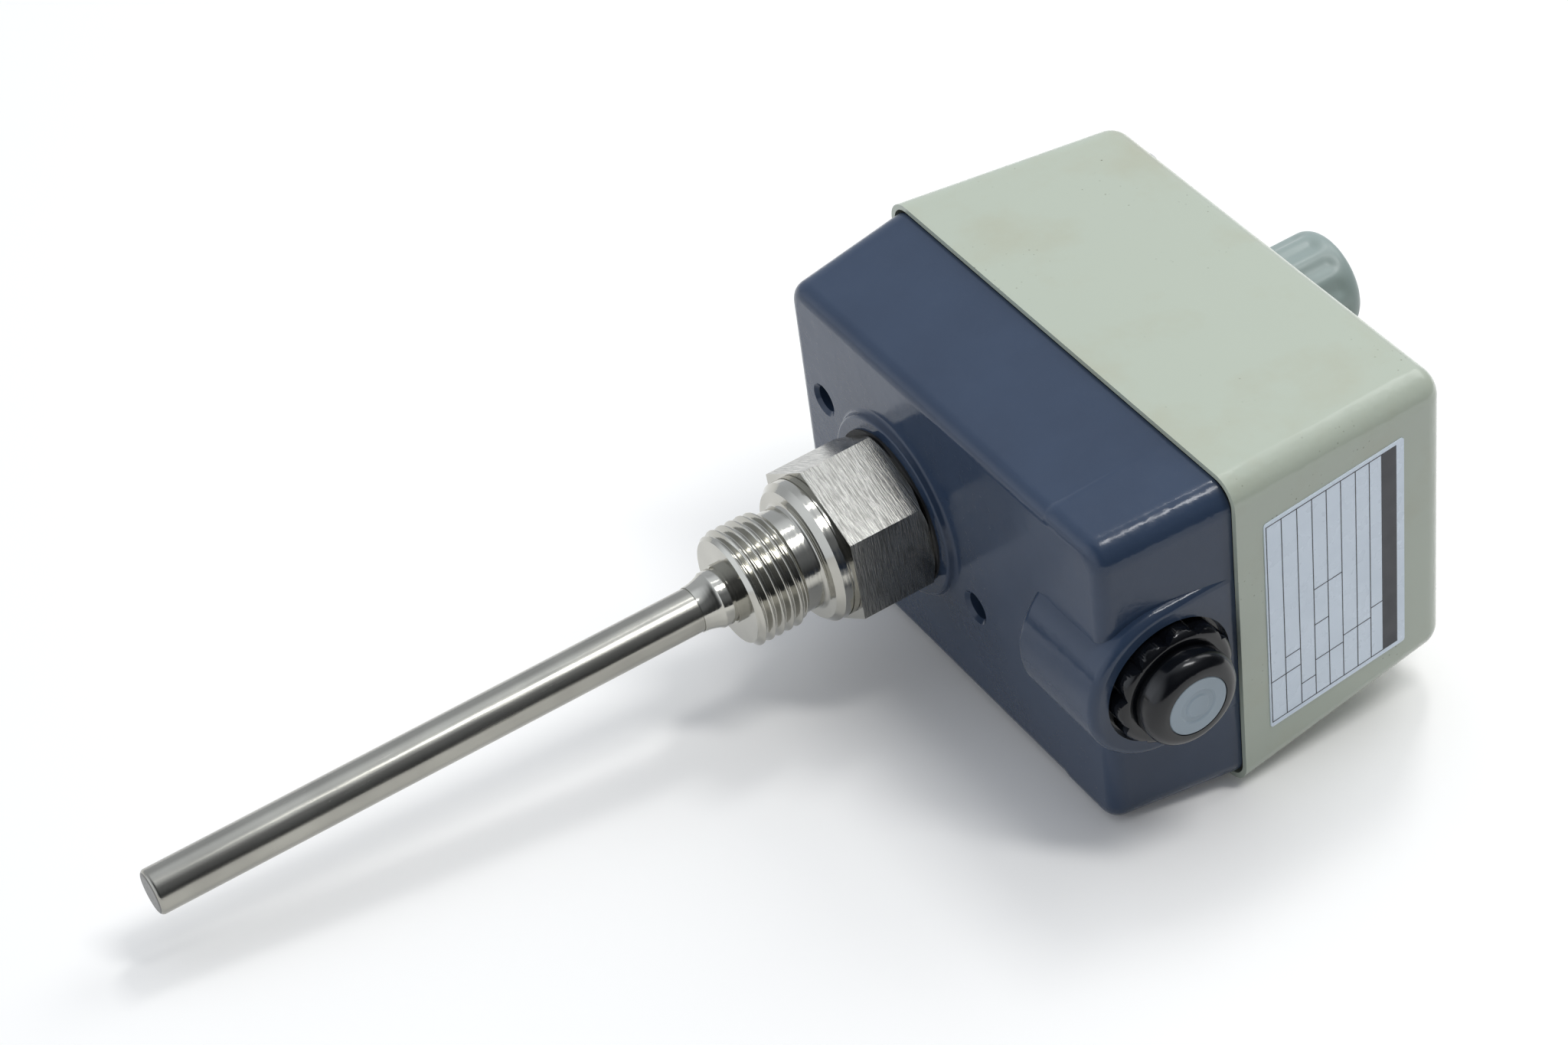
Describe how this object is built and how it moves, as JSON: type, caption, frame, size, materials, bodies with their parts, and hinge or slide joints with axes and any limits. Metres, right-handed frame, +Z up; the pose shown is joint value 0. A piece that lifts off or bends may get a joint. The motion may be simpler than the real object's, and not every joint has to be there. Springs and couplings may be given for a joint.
{
  "type": "industrial thermostat",
  "caption": "Stem thermostat: a stainless probe with a hexagon and pipe thread, a cast base, a sheet-steel cover, a fluted setting knob and a side cable gland.",
  "frame": {"origin": "on the probe axis, half way along the thread of the process connection", "axes": "+X along the probe axis from its tip to the knob, -Y towards the cable gland, +Z up as the thermostat lies on a long side of its case"},
  "size_m": [0.2353, 0.1036, 0.0678],
  "materials": {
    "stainless_bright": "bright drawn stainless tube",
    "stainless_turned": "turned stainless bar",
    "copper_alloy": "drawn copper",
    "zinc_steel": "zinc-plated steel",
    "spring_steel": "oiled spring wire",
    "brass_parts": "machined brass",
    "base_paint": "gloss blue-grey paint over die-cast aluminium",
    "cover_paint": "gloss pale green-grey paint over sheet steel",
    "label_film": "printed film",
    "knob_plastic": "satin pale grey-green moulding",
    "disc_plastic": "pale blue-grey moulding",
    "black_moulding": "gloss black moulding",
    "white_moulding": "white moulding",
    "black_rubber": "black seal rubber",
    "wire_insulation": "insulated copper wire"
  },
  "bodies": {
    "case": {"immersion_tube": "stainless_bright", "sensing_bulb": "copper_alloy", "capillary_tube": "copper_alloy", "neck_sleeve": "stainless_bright", "process_fitting": "stainless_turned", "fitting_washer": "black_rubber", "fitting_nut": "zinc_steel", "diaphragm_capsule": "copper_alloy", "base_housing": "base_paint", "cover_gasket": "black_rubber", "cover": "cover_paint", "rating_label": "label_film", "cover_pillars": "zinc_steel", "cover_screws": "zinc_steel", "mechanism_frame": "zinc_steel", "frame_screws": "zinc_steel", "lever_pin": "zinc_steel", "setpoint_spring": "spring_steel", "stop_pin": "zinc_steel", "spindle_bush": "brass_parts", "switch_body": "black_moulding", "switch_screws": "zinc_steel", "switch_tabs": "brass_parts", "terminal_block": "black_moulding", "terminal_clamps": "brass_parts", "terminal_screws": "zinc_steel", "block_screws": "zinc_steel", "lead_wires": "wire_insulation", "earth_clamp": "brass_parts", "earth_screw": "zinc_steel", "gland_nut": "black_moulding", "gland_disc": "disc_plastic", "gland_washer": "zinc_steel", "gland_seal": "black_rubber"},
    "dial": {"setpoint_spindle": "brass_parts", "spindle_clip": "spring_steel", "stop_collar": "brass_parts", "adjusting_knob": "knob_plastic"},
    "seat": {"spring_seat": "brass_parts"},
    "lever": {"switch_lever": "zinc_steel"},
    "pin": {"push_pin": "brass_parts"},
    "button": {"switch_button": "white_moulding"}
  },
  "joints": [
    {"name": "dial_turn", "type": "hinge", "parent": "case", "child": "dial", "pos_m": [0.11, 0, 0], "axis": [-1, 0, 0], "range_deg": [0, 300]},
    {"name": "seat_travel", "type": "slide", "parent": "case", "child": "seat", "axis": [-1, 0, 0], "range_m": [0, 0.0018], "deforming": ["setpoint_spring"]},
    {"name": "lever_tilt", "type": "hinge", "parent": "case", "child": "lever", "pos_m": [0.052, 0.015, 0], "axis": [0, 0, 1], "range_deg": [0, 2], "stiffness_Nm_per_rad": 0.05, "springref_deg": -57.3},
    {"name": "pin_travel", "type": "slide", "parent": "case", "child": "pin", "axis": [1, 0, 0], "range_m": [0, 0.0006]},
    {"name": "button_travel", "type": "slide", "parent": "case", "child": "button", "axis": [1, 0, 0], "range_m": [0, 0.0012]}
  ],
  "couplings": [
    {"joint": "seat_travel", "follows": "dial_turn", "m_per_rad": 0.0003183},
    {"joint": "pin_travel", "follows": "lever_tilt", "m_per_rad": 0.015},
    {"joint": "button_travel", "follows": "lever_tilt", "m_per_rad": 0.031}
  ]
}
